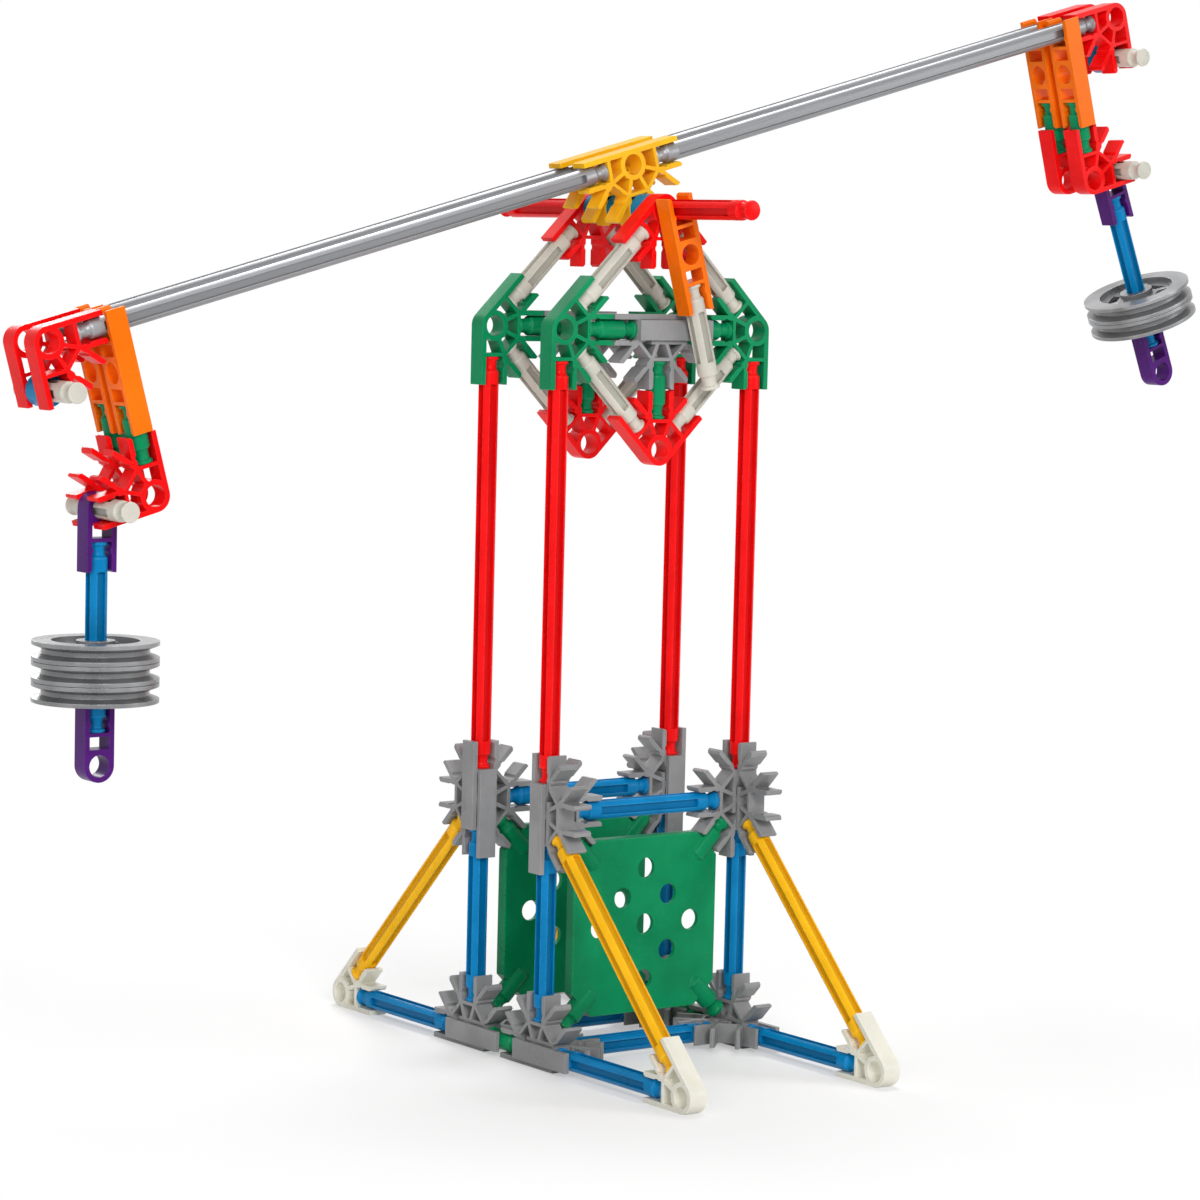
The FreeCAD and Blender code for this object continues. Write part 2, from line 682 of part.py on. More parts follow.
# Head: four long posts carry a diamond of struts in each frame, with a bearing at its top.
upper_posts = []
head_corners = []
lower_struts = []
upper_struts = []
side_rods = []
for side, end in CORNERS:
    frame = FRAME_PLACE * end
    upper_posts.append(rod_along(post_rod, hub_at(side, frame, (MID_LEVEL + HEAD_LEVEL) / 2), Z))
    head_corners.append(copy_of(head_fan, hub_at(side, frame, HEAD_LEVEL), -Z, X * -side))
    rising = (X * side + Z).normalize()
    lower_struts.append(rod_along(strut_rod, hub_at(0.5 * side, frame, HEAD_DROP), rising))
    falling = (X * side - Z).normalize()
    upper_struts.append(rod_along(strut_rod, hub_at(0.5 * side, frame, HEAD_RISE), falling))
    side_rods.append(rod_along(short_rod, hub_at(0.5 * side, frame, HEAD_LEVEL), X))
node("upper_posts", upper_posts)
node("head_corners", head_corners)
node("head_lower_struts", lower_struts)
node("head_upper_struts", upper_struts)
node("head_side_rods", side_rods)
up_right = (X + Z).normalize()
up_left = (Z - X).normalize()
keels = []
centre_uprights = []
centre_flats = []
keel_rods = []
for label, end in zip(("front", "back"), SIDES):
    frame = FRAME_PLACE * end
    keels.append(copy_of(corner_fan, hub_at(0, frame, KEEL_LEVEL), up_right, up_left))
    bearing = copy_of(corner_fan, hub_at(0, frame, AXLE_LEVEL), -up_right, -up_left)
    node(f"{label}_bearing", [bearing])
    centre_uprights.append(copy_of(slotted_fan, hub_at(0, frame, HEAD_LEVEL), -X, -Z))
    centre_flats.append(copy_of(slotted_fan, hub_at(0, frame, HEAD_LEVEL), X, Y * -end))
    keel_rods.append(rod_along(short_rod, hub_at(0, frame, HEAD_DROP), Z))
node("keel_connectors", keels)
node("head_centre_uprights", centre_uprights)
node("head_centre_flats", centre_flats)
node("keel_rods", keel_rods)
node("head_link_rod", [rod_along(short_rod, hub_at(0, 0, HEAD_LEVEL), Y)])

# Beam: drawn level about the axle, then leant. The axle is gripped by the two yellow connectors.
AXLE = ("0", "0", AXLE_HEIGHT)
TILT = "Sizes.beam_tilt"
GRIP = "Sizes.side_grip"


def beam_node(name, copies):
    """A node that turns with the beam."""
    node(name, copies, base=AXLE, lean=TILT)


def in_pair(across, up):
    """The two places of a doubled piece, in front of and behind the beam's middle plane."""
    return [(across, f"{end} * {PAIR}", up) for end in SIDES]


beam_node("axle", [rod_along(post_rod, ("0", "0", "0"), Y)])
beam_node("beam_connectors", [copy_of(beam_fan, place, X, -Z) for place in in_pair("0", GRIP)])
spacer_place = f"(Sizes.bay / 2 - Sizes.plate / 2 - Sizes.face_play - {AXLE_SPACER} / 2)"
spacers = [copy_of(axle_spacer, ("0", f"{end} * {spacer_place}", "0"), X, Z) for end in SIDES]
spacers.append(copy_of(pair_spacer, ("0", "0", "0"), X, Z))
beam_node("axle_spacers", spacers)
beam_node("pointer_clip", [copy_of(double_clip, ("0", f"-{POINTER_PLACE}", f"-{GRIP}"), Z, X)])
pointer_drop = f"-({GRIP} + {STRUT_PITCH} / 2)"
beam_node("pointer_rod", [rod_along(strut_rod, ("0", f"-{POINTER_PLACE}", pointer_drop), Z)])

for label, side in (("left", -1), ("right", 1)):
    middle = f"{side} * {BEAM_END} / 2"
    end_hub = f"{side} * {BEAM_END}"
    clip_hub = f"{side} * {CLIP_PLACE}"
    load_pin = f"{side} * {PIN_PLACE}"
    outward = X * side
    rods = [rod_along(beam_rod, place, X) for place in in_pair(middle, GRIP)]
    beam_node(f"{label}_beam_rods", rods)
    ends = [copy_of(corner_fan, place, -outward, -Z) for place in in_pair(end_hub, GRIP)]
    beam_node(f"{label}_end_connectors", ends)
    beam_node(f"{label}_end_pin", [rod_along(strut_rod, (end_hub, "-Sizes.pin_shift", "0"), Y)])
    beam_node(f"{label}_end_spacer", [copy_of(pair_spacer, (end_hub, "0", "0"), X, Z)])
    beam_node(f"{label}_clips", [copy_of(double_clip, place, Z, Y) for place in in_pair(clip_hub, "0")])
    drops = [rod_along(short_rod, place, Z) for place in in_pair(clip_hub, f"-{SHORT_PITCH} / 2")]
    beam_node(f"{label}_drop_rods", drops)
    carriers = [copy_of(corner_fan, place, outward, Z) for place in in_pair(clip_hub, f"-{SHORT_PITCH}")]
    beam_node(f"{label}_load_connectors", carriers)
    pin_place = (load_pin, "-Sizes.pin_shift", f"-{SHORT_PITCH}")
    beam_node(f"{label}_load_pin", [rod_along(strut_rod, pin_place, Y)])

# Hangers: a ring clip on the load pin, a rod, and a second ring clip that holds the wheels up.
for label, side, wheels in (("left", -1, LEFT_WHEELS), ("right", 1, RIGHT_WHEELS)):
    lean = f"Sizes.{label}_lean"
    pin_x = f"({side} * {PIN_PLACE} * cos({TILT}) + {SHORT_PITCH} * sin({TILT}))"
    pin_z = f"({side} * {PIN_PLACE} * sin({TILT}) - {SHORT_PITCH} * cos({TILT}) + {AXLE_HEIGHT})"
    pin = (pin_x, "0", pin_z)
    node(f"{label}_hanger_top_clip", [copy_of(end_clip, ("0", "0", "0"), -Z, X)], pin, lean)
    node(f"{label}_hanger_rod", [rod_along(middle_rod, ("0", "0", f"-{MIDDLE_PITCH} / 2"), Z)], pin, lean)
    node(f"{label}_hanger_ring", [copy_of(end_clip, ("0", "0", f"-{MIDDLE_PITCH}"), Z, X)], pin, lean)
    for number in range(wheels):
        rise = f"({number} + 0.5) * Sizes.wheel_width + ({number} + 1) * Sizes.wheel_play"
        place = ("0", "0", f"-{MIDDLE_PITCH} + {TIP} + {rise}")
        node(f"{label}_wheel_{number + 1}", [copy_of(pulley_wheel, place, X, Y)], pin, lean)

DOCUMENT.recompute()
for item in DOCUMENT.Objects:
    if "Invalid" in item.State or "Error" in item.State:
        raise RuntimeError(f"{item.Label} failed: {item.State}")
for group in NODES:
    if group.Shape.isNull() or not group.Shape.isValid():
        raise RuntimeError(f"{group.Label} has no valid shape")
    if len(group.Shape.Solids) != len(group.Links):
        raise RuntimeError(f"{group.Label} lost a solid")

os.makedirs("parts", exist_ok=True)
for group in NODES:
    group.Shape.exportStep(os.path.join("parts", f"{group.Label}.step"))
print(len(NODES), "nodes,", sum(len(group.Shape.Solids) for group in NODES), "solids")
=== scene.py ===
# %% [markdown] # A balance built from rods and connectors A tower of red and blue rods carries a long
# doubled beam on an axle, and a hanger with pulley wheels swings from each end of the beam. The packed
# model already holds every piece at its real size and place, so it could be shown as it is. Its solids,
# though, have perfectly sharp edges, plain rods and no finish, and the eye takes such a thing for a
# drawing.

# %% Load the packed model and note its size
import json
import math

import bmesh
import bpy
import numpy as np
from mathutils import Matrix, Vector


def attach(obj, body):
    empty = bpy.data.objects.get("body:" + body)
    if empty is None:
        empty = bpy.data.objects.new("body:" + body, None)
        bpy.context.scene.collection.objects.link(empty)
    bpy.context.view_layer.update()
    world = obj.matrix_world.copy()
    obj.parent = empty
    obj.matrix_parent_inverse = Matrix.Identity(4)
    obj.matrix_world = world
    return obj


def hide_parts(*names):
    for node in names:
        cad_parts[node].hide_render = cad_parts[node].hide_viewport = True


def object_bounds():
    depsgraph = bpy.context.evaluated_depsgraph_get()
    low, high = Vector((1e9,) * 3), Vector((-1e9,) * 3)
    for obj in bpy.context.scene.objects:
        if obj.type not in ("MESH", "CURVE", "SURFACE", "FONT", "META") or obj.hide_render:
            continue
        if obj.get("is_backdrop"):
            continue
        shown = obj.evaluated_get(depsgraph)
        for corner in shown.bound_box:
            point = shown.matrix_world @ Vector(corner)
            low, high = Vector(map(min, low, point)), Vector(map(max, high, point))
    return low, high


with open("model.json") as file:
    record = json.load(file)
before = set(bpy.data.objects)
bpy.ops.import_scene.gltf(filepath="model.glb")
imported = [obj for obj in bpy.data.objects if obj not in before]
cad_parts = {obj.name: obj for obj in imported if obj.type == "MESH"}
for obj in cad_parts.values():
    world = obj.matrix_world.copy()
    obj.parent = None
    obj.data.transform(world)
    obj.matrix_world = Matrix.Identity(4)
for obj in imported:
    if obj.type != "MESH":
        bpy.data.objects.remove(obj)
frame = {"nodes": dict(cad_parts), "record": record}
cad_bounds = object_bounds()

MM = 0.001
print("size in mm", [round((high - low) / MM, 1) for low, high in zip(*cad_bounds)])

# %% [markdown]
# ## Whose piece is whose
# Each node has a material slot and moves with one body: the stand stays, the beam turns on the bearings,
# the hangers swing on the beam and each wheel turns on its hanger's rod. The lists could be typed in again
# here, but the record that came with the model says both, so two small tables are read from it.

# %% Tables of slots and bodies
slot_of = {part["node"]: part["material_slot"] for part in frame["record"]["subparts"]}
body_of = {node: body for body, nodes in frame["record"]["behaviour"]["bodies"].items() for node in nodes}
for body in frame["record"]["behaviour"]["bodies"]:
    print(body, "carries", sum(owner == body for owner in body_of.values()), "nodes")

# %% [markdown]
# ## Sums on shader sockets
# A shader pattern is a formula, and a formula is hard to read as thirty lines that add and join nodes. The
# class below wraps a socket instead, so that `1 - mask * 0.5` adds the Math nodes by itself. Colours don't
# go through Math nodes, which would turn them grey, so there is a separate `mix` for them. Every other node
# comes from the one method `node`: its type, its settings, and a value or a link for each of its sockets.

# %% A socket that takes part in Python sums
class Signal:
    """A socket of a node tree. Sums with it add Math nodes; node() adds any other node."""

    def __init__(self, tree, socket=None):
        self.tree = tree
        self.socket = socket

    def node(self, kind, settings=(), inputs=(), output=0):
        """Adds a node, gives it its settings, then a value or a link for each socket."""
        made = self.tree.nodes.new(kind)
        for name, setting in dict(settings).items():
            setattr(made, name, setting)
        for name, value in dict(inputs).items():
            if isinstance(value, Signal):
                self.tree.links.new(value.socket, made.inputs[name])
            else:
                made.inputs[name].default_value = value
        return Signal(self.tree, made.outputs[output])

    def maths(self, operation, first, second):
        """A Math node of two values or signals."""
        return self.node("ShaderNodeMath", {"operation": operation}, {0: first, 1: second})

    def __add__(self, other):
        return self.maths("ADD", self, other)

    def __sub__(self, other):
        return self.maths("SUBTRACT", self, other)

    def __rsub__(self, other):
        return self.maths("SUBTRACT", other, self)

    def __mul__(self, other):
        return self.maths("MULTIPLY", self, other)

    __radd__ = __add__
    __rmul__ = __mul__

    def above(self, level, width):
        """0 below the level, 1 a width above it, and a smooth rise between."""
        return self.node("ShaderNodeMapRange", {"interpolation_type": "SMOOTHSTEP"},
                         {"Value": self, "From Min": level, "From Max": level + width})

    def mix(self, low, high):
        """The low colour where this is 0 and the high colour where it is 1."""
        return self.node("ShaderNodeMix", {"data_type": "RGBA"}, {0: self, 6: low, 7: high}, 2)


print("a Signal can", [name for name in vars(Signal) if not name.startswith("__")])

# %% [markdown]
# ## The marks that handling leaves, and painted shade in the grooves
# A kit piece comes out of a polished mould with an even, soft gloss, and then lives in a box with a
# thousand others. Its corners rub pale, its faces pick up faint scuffs, and its colour drifts a little where
# the melt flowed. The deep, narrow places, such as the grooves of a rod, are painted darker as painted
# shade. A painted texture could show all this, but it would need an unwrapping for every piece. Noise on
# Object coordinates needs none, and a scale of 400 there means marks about 2.5 mm wide on every piece alike.
# The corners and the grooves can't be found by noise, so the meshes carry them as two attributes, `edge` and
# `deep`.

# %% The masks, all between 0 and 1
# Each noise has so many marks to a metre, and so many finer layers on top of them.
NOISES = {
    "flow": (70.0, 3.0),
    "dent": (260.0, 2.0),
    "scuffs": (420.0, 6.0),
    "worn": (1700.0, 3.0),
    "grain": (2600.0, 2.0),
}


def handling_marks_and_painted_shade(pen, place):
    """flow, dent and grain are noises, from broad to fine. scuffs are the peaks of one more.

    worn is the mesh's own mask of its edges, broken into patches by a noise. deep is its mask of grooves,
    for painted shade."""

    def noise(name):
        """One of the noises, read at the place."""
        scale, detail = NOISES[name]
        return pen.node("ShaderNodeTexNoise", {}, {"Vector": place, "Scale": scale, "Detail": detail})

    def carried(name):
        """A mask that the mesh carries as an attribute, 0 where it has none."""
        return pen.node("ShaderNodeAttribute", {"attribute_name": name}, output="Fac")

    return {
        "flow": noise("flow"),
        "dent": noise("dent"),
        "grain": noise("grain"),
        "scuffs": noise("scuffs").above(0.60, 0.14),
        "worn": carried("edge") * noise("worn").above(0.32, 0.36),
        "deep": carried("deep"),
    }


print("width of the marks in mm:", {name: round(1 / scale / MM, 1) for name, (scale, _) in NOISES.items()})

# %% [markdown]
# ## Moulded plastic
# The same masks serve colour and gloss, because one scratch changes both: it is paler and duller. The
# relief comes from the three plain noises and is only hundredths of a millimetre, just enough to break the
# reflections of the lamps, so it stays a bump. The reflection itself is kept weak for the deep colours.
# Plastic in a white room reflects white everywhere, and that washes a deep red out to pink.

# %% The plastic recipe
# For each mark: how much of it mixes in, what it multiplies the colour by, and how much white it adds.
MARKED = {
    "scuffs": (0.16, 1.25, 0.035),
    "worn": (0.42, 1.35, 0.055),
    # deep is painted shade: in the grooves the colour is multiplied by 0.55, where shade falls.
    "deep": (0.60, 0.55, 0.0),
}
RELIEF = 0.22 * MM


def plastic(name, colour, gloss=0.30, drift=0.10, shine=0.10, metallic=0.0, lean=0.0, streak=1.0):
    """Base colour = colour * (1 +- drift by flow), then each mark mixed in, and deep as painted shade in the
    grooves. Roughness = gloss, a little more or less by flow, and more on scuffs and worn edges. Specular
    level = shine.

    lean turns the pattern about Y, and streak makes it that many times longer along its own x."""
    material = bpy.data.materials.new(name)
    material.use_nodes = True
    pen = Signal(material.node_tree)
    place = pen.node("ShaderNodeTexCoord", output="Object")
    place = pen.node("ShaderNodeMapping", {"vector_type": "TEXTURE"},
                     {"Vector": place, "Rotation": (0.0, -lean, 0.0), "Scale": (streak, 1.0, 1.0)})
    mark = handling_marks_and_painted_shade(pen, place)

    def shade(factor, white):
        """colour * factor + white in each channel, at most 1, with an alpha of 1."""
        return tuple(min(1.0, channel * factor + white) for channel in colour) + (1.0,)

    tone = mark["flow"].above(0.3, 0.4).mix(shade(1.0 - drift, 0.0), shade(1.0 + drift, 0.002))
    # Scuffs and worn edges make the colour paler; deep is painted shade, darker in the grooves.
    for kind, (share, factor, white) in MARKED.items():
        tone = (mark[kind] * share).mix(tone, shade(factor, white))
    rough = gloss + (mark["flow"] - 0.5) * 0.16 + mark["scuffs"] * 0.09 + mark["worn"] * 0.07
    relief = mark["flow"] * 0.6 + mark["dent"] * 0.25 + mark["grain"] * 0.02
    bump = pen.node("ShaderNodeBump", {}, {"Height": relief, "Distance": RELIEF, "Strength": 0.5})
    shader = material.node_tree.nodes["Principled BSDF"]
    shader.inputs["Metallic"].default_value = metallic
    shader.inputs["Specular IOR Level"].default_value = shine
    for socket, signal in (("Base Color", tone), ("Roughness", rough), ("Normal", bump)):
        material.node_tree.links.new(signal.socket, shader.inputs[socket])
    return material


print("a plastic drives Base Color, Roughness and Normal; its marks are", list(MARKED))

# From green to white, blue, yellow, red and grey, the span of a rod from hub to hub grows by the square
# root of two each time, so that the next size always fits as a diagonal. The values below are linear light,
# which is why they look darker as numbers than on the screen.

# %% One plastic for each colour
finish = {
    "grey_plastic": plastic("grey_plastic", (0.265, 0.265, 0.27), shine=0.2),
    "blue_plastic": plastic("blue_plastic", (0.0, 0.20, 0.47)),
    "green_plastic": plastic("green_plastic", (0.0, 0.235, 0.088)),
    "ivory_plastic": plastic("ivory_plastic", (0.76, 0.74, 0.64), drift=0.05, shine=0.2),
    "yellow_plastic": plastic("yellow_plastic", (0.93, 0.48, 0.01), drift=0.06),
    "red_plastic": plastic("red_plastic", (0.88, 0.003, 0.004), drift=0.08),
    "white_plastic": plastic("white_plastic", (0.57, 0.55, 0.48), drift=0.06, shine=0.2),
    "orange_plastic": plastic("orange_plastic", (0.90, 0.16, 0.001), drift=0.07),
    "spacer_blue": plastic("spacer_blue", (0.0, 0.21, 0.44)),
    "purple_plastic": plastic("purple_plastic", (0.075, 0.008, 0.16), drift=0.14),
}
print("plain colours", len(finish))

# %% [markdown]
# ## Plastic with metal flakes
# The wheels and the long beam rods are moulded from plastic with fine aluminium flakes in it. It isn't
# metal, and it isn't plain grey: half a metal is near enough, because a Metallic of one half mixes both
# kinds of reflection. In a long rod the flakes follow the flow of the melt, so that its pattern is forty
# times longer along the beam than across it, and it is turned by the beam's lean.

# %% The silver of the wheels, and the streaked silver of the beam rods
BEAM_LEAN = math.radians(15.5)
finish["silver_plastic"] = plastic("silver_plastic", (0.255, 0.258, 0.263), gloss=0.29, drift=0.24,
                                   shine=0.4, metallic=0.5)
finish["silver_beam"] = plastic("silver_beam", (0.26, 0.265, 0.275), gloss=0.36, drift=0.34,
                                shine=0.4, metallic=0.5, lean=BEAM_LEAN, streak=40.0)
print("finishes", sorted(finish))

# %% [markdown]
# ## A merged copy of a packed mesh
# A packed mesh is loose triangles: three corners each, and no triangle knows its neighbour. Nothing can be
# rounded on such a mesh, and it belongs to the model, so it is left alone. A copy has its doubled corners
# merged, and its flat faces, which the packing cut into triangles, are joined into one polygon each. What
# is left is only the real edges of the piece.

# %% Merge and join
SAME_CORNER = 0.002 * MM
FLAT = math.radians(0.4)


def merged_work(node):
    """A bmesh of the node with doubled corners merged, and neighbours joined that are flat to each other."""
    work = bmesh.new()
    work.from_mesh(frame["nodes"][node].data)
    bmesh.ops.remove_doubles(work, verts=work.verts, dist=SAME_CORNER)
    bmesh.ops.dissolve_limit(work, angle_limit=FLAT, verts=work.verts, edges=work.edges)
    for face in work.faces:
        face.smooth = True
        face.material_index = 0
    return work


print("merging is ready for", len(frame["nodes"]), "nodes")

# %% [markdown]
# ## Rounded corners
# Nothing that comes out of a mould has a perfectly sharp edge, and a piece is read by the thin highlight
# along it. The rounding could be drawn by hand along every edge, or faked in the shader, where it wouldn't
# reach the outline. A Bevel modifier rounds just the corners sharper than 32 degrees, and leaves the facets
# of round walls alone. It puts its strips in a second material index, so that they can be found again.
#
# Slivers are the price: where a strip meets a sliver, the smooth normal may turn away from the face and
# show as a black speck. Those few corners get their face's own normal back.

# %% The Bevel modifier, and mending the normals on slivers
CORNER_ANGLE = math.radians(32)


def add_bevel(piece, width, segments, method):
    """Rounds the corners sharper than the corner angle (ANGLE), or those with a bevel weight (WEIGHT)."""
    bevel = piece.modifiers.new("round", "BEVEL")
    bevel.width = width
    bevel.segments = segments
    bevel.limit_method = method
    bevel.angle_limit = CORNER_ANGLE
    bevel.loop_slide = False
    bevel.use_clamp_overlap = False
    bevel.material = 1


def mend_normals(mesh, least=0.25):
    """Where the cosine between a corner's and its face's normal is below least, the face's own is used.

    Returns how many."""
    corner_normal = np.zeros((len(mesh.loops), 3), np.float32)
    mesh.corner_normals.foreach_get("vector", corner_normal.ravel())
    face_normal = np.zeros((len(mesh.polygons), 3), np.float32)
    mesh.polygons.foreach_get("normal", face_normal.ravel())
    corners = np.zeros(len(mesh.polygons), np.int32)
    mesh.polygons.foreach_get("loop_total", corners)
    face_normal = np.repeat(face_normal, corners, axis=0)
    wrong = (corner_normal * face_normal).sum(1) < least
    if wrong.any():
        mesh.normals_split_custom_set(np.where(wrong[:, None], face_normal, corner_normal).tolist())
    return int(wrong.sum())


print("rounding starts at corners of", round(math.degrees(CORNER_ANGLE)), "degrees")

# %% [markdown]
# ## From a node to a rounded mesh
# The modifiers are tried on a passing object and their result is kept as a plain mesh. The strips of the
# Bevel are read from the material index, written down as the `edge` attribute for the plastic, and the
# index goes back to zero. A panel's outline is rounder than the rest of it, so it can have a first, wider
# rounding of its own.

# %% The rounded copy
def mark_long_edges(work, least=20 * MM, sharp=1.2):
    """A bevel weight of 1 on edges longer than least along X or Z whose faces turn by more than sharp."""
    weight = work.edges.layers.float.new("bevel_weight_edge")
    for edge in work.edges:
        run = edge.verts[1].co - edge.verts[0].co
        edge[weight] = float(max(abs(run.x), abs(run.z)) > least and edge.calc_face_angle(0.0) > sharp)


def rounded_copy(node, width, rim=0.0):
    """The merged node, its corners rounded by width and its long straight edges by rim."""
    work = merged_work(node)
    if rim:
        mark_long_edges(work)
    mesh = bpy.data.meshes.new(node + "_merged")
    work.to_mesh(mesh)
    work.free()
    mesh.materials.clear()
    # One index for the faces and one for the rounding strips.
    for _ in range(2):
        mesh.materials.append(finish[slot_of[node]])
    rough = bpy.data.objects.new(node + "_merged", mesh)
    bpy.context.scene.collection.objects.link(rough)
    if rim:
        add_bevel(rough, rim, 3, "WEIGHT")
    add_bevel(rough, width, 2, "ANGLE")
    rough.modifiers.new("weigh", "WEIGHTED_NORMAL").weight = 100
    graph = bpy.context.evaluated_depsgraph_get()
    rounded = bpy.data.meshes.new_from_object(rough.evaluated_get(graph))
    bpy.data.objects.remove(rough)
    strip = np.zeros(len(rounded.polygons), np.int32)
    rounded.polygons.foreach_get("material_index", strip)
    rounded.attributes.new("edge", "FLOAT", "FACE").data.foreach_set("value", (strip > 0).astype(np.float32))
    rounded.polygons.foreach_set("material_index", np.zeros_like(strip))
    mended = mend_normals(rounded)
    print(node, len(strip), "faces,", int((strip > 0).sum()), "of them rounding,", mended, "normals mended")
    return rounded


print("rounding is ready")

# %% [markdown]
# ## Handing a piece over
# A finished mesh takes the place of its node: the node stays in the motion model, hidden, and the
# piece is what is seen. A finished mesh takes the place of its node: the node stays in the motion model for
# collision, and the piece is what is seen. It could be parented by hand, but then a body that turns would
# leave it behind.
# Three calls say it all: which body it rides on, which node it stands for and which slot its finish belongs
# to.

# %% One piece for one node
def finish_piece(mesh, node, look=None):
    """Links a mesh as the piece that stands for a node, in its slot's plastic or in another look."""
    piece = bpy.data.objects.new(node + "_piece", mesh)
    bpy.context.scene.collection.objects.link(piece)
    mesh.materials.clear()
    mesh.materials.append(finish[look or slot_of[node]])
    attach(piece, body_of[node])
    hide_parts(node)
    return piece


print("slots to finish:", sorted(set(slot_of.values())))

# %% [markdown]
# ## Painted shade in the grooves of the wheels
# A pulley wheel is painted darker towards the bottom of its groove, as painted shade. The plastic already
# darkens a `deep` place, so the wheel only has to say where that is. Its axis can be found from the mesh
# alone: a wheel is wider than it is thick, so the axis is the direction in which its points spread least.
# A point between the flanges is as deep as its distance from the axis says.

# %% Mark a wheel's groove for painted shade
WHEEL_RADIUS, WHEEL_GROOVE, BETWEEN_FLANGES = 18.2 * MM, 2.8 * MM, 1.75 * MM


def mark_groove_shade(mesh):
    """deep = (wheel radius - distance from the axis) / groove depth between the flanges, and 0 elsewhere; it
    drives the painted shade.
    """
    points = np.zeros((len(mesh.vertices), 3), np.float32)
    mesh.vertices.foreach_get("co", points.ravel())
    offset = points - (points.min(0) + points.max(0)) / 2
    axis = np.linalg.svd(offset, full_matrices=False)[2][2]
    height = offset @ axis
    radius = np.linalg.norm(offset - height[:, None] * axis, axis=1)
    # The deeper a point lies in the groove, the darker the painted shade.
    deep = np.clip((WHEEL_RADIUS - radius) / WHEEL_GROOVE, 0.0, 1.1)
    deep = np.where((np.abs(height) < BETWEEN_FLANGES) & (deep < 1.1), np.minimum(deep, 1.0), 0.0)
    mesh.attributes.new("deep", "FLOAT", "POINT").data.foreach_set("value", deep.astype(np.float32))
    return int((deep > 0.5).sum())


print("a wheel is", round(2 * WHEEL_RADIUS / MM, 1), "mm across")

# %% [markdown]
# ## Wheels and spacer rings
# The wheels have thin flanges, whose rims catch a fine line of light all the way round. The blue rings that
# keep the connectors apart on the axle are thick and plainly round at their ends. Both are turned shapes
# that the model has right, so only the width of the rounding is chosen: 0.13 mm on the flanges and 0.3 mm
# on the rings.

# %% Round the wheels and the rings
WHEEL_ROUNDING, RING_ROUNDING = 0.13 * MM, 0.3 * MM
for node in frame["nodes"]:
    if "wheel" in node:
        mesh = rounded_copy(node, WHEEL_ROUNDING)
        print(node, "points deep in the groove", mark_groove_shade(mesh))
        finish_piece(mesh, node)
    if "spacer" in node:
        finish_piece(rounded_copy(node, RING_ROUNDING), node)

# %% [markdown]
# ## Panels
# A panel snaps between four corners by its diagonal stubs and is a thin plate with nine holes. Its outline
# is rounded by about half a millimetre, which shows as a light line along the top, while the holes and the
# roots of the stubs are crisper. One width can't do both, so the long straight edges are rounded first and
# wider.

# %% Round the panels
PANEL_ROUNDING, PANEL_RIM = 0.10 * MM, 0.5 * MM
for node in frame["nodes"]:
    if "panel" in node:
        finish_piece(rounded_copy(node, PANEL_ROUNDING, rim=PANEL_RIM), node)

# %% [markdown]
# ## Connectors, clips, rings and feet
# These are flat webs of spokes and sockets, 6.2 mm thick, with jaws that close on the neck of a rod. The
# walls are little over a millimetre, so a wide rounding would eat them. 0.13 mm is about what a worn mould
# gives, and it is also the widest at which the rounding strips of the slotted connectors don't run into
# each other.

# %% Round every other moulded piece
MOULD_ROUNDING = 0.13 * MM
ROD_ENDINGS = ("rods", "rod", "posts", "struts", "pin", "axle")
rod_nodes = [node for node in frame["nodes"] if node.endswith(ROD_ENDINGS)]
done_nodes = [node for node in frame["nodes"] if "wheel" in node or "spacer" in node or "panel" in node]
for node in frame["nodes"]:
    if node not in rod_nodes and node not in done_nodes:
        finish_piece(rounded_copy(node, MOULD_ROUNDING), node)

# %% [markdown]
# ## The section of a rod
# Seen end on, a rod is a circle of 6.2 mm with four flat-bottomed grooves. It could be cut from a cylinder
# with booleans, which leave messy triangles along the cuts. It is cleaner to list the points of the
# section. One eighth of a turn is enough to write down: half the groove's floor, its wall, a small lip and
# half of the land. Its mirror makes a quarter, and three turned copies close the ring.

# %% Points round the section
ROD = 3.1 * MM
GROOVE_HALF, GROOVE_FLOOR, LIP = 1.2 * MM, 1.85 * MM, 0.16 * MM


def grooved_section():
    """Half floor, wall, lip and half land, mirrored in the 45 degree line, then turned in four quarters."""
    top = math.sqrt(ROD ** 2 - GROOVE_HALF ** 2)
    land = np.linspace(math.asin((GROOVE_HALF + LIP) / ROD), math.pi / 4, 4)
    half = np.concatenate([
        [[GROOVE_FLOOR, 0.0], [GROOVE_FLOOR, 0.6 * GROOVE_HALF], [GROOVE_FLOOR, 0.96 * GROOVE_HALF]],
        [[GROOVE_FLOOR + 0.05 * GROOVE_HALF, GROOVE_HALF], [top - LIP, GROOVE_HALF]],
        [[top - 0.25 * LIP, GROOVE_HALF + 0.3 * LIP]],
        ROD * np.stack([np.cos(land), np.sin(land)], axis=1)])
    quarter = np.concatenate([half, half[-2:0:-1, ::-1]])
    turns = np.arange(4) * math.pi / 2
    spin = np.array([[np.cos(turns), np.sin(turns)], [-np.sin(turns), np.cos(turns)]])
    return np.einsum("pi,ijt->tpj", quarter, spin).reshape(-1, 2)


section = grooved_section()
round_angle = np.arange(len(section)) * 2 * math.pi / len(section)
circle = np.stack([np.cos(round_angle), np.sin(round_angle)], axis=1)
print("section points", len(section))

# %% [markdown]
# ## Which points are lips and which are sunk
# The worn lines of a rod run along the lips of its grooves, and the grooves get painted shade. Both
# follow from where a point of the section is: a lip point is near the full radius and near the groove's
# wall, and a sunk one, which gets the painted shade, is well inside the radius.

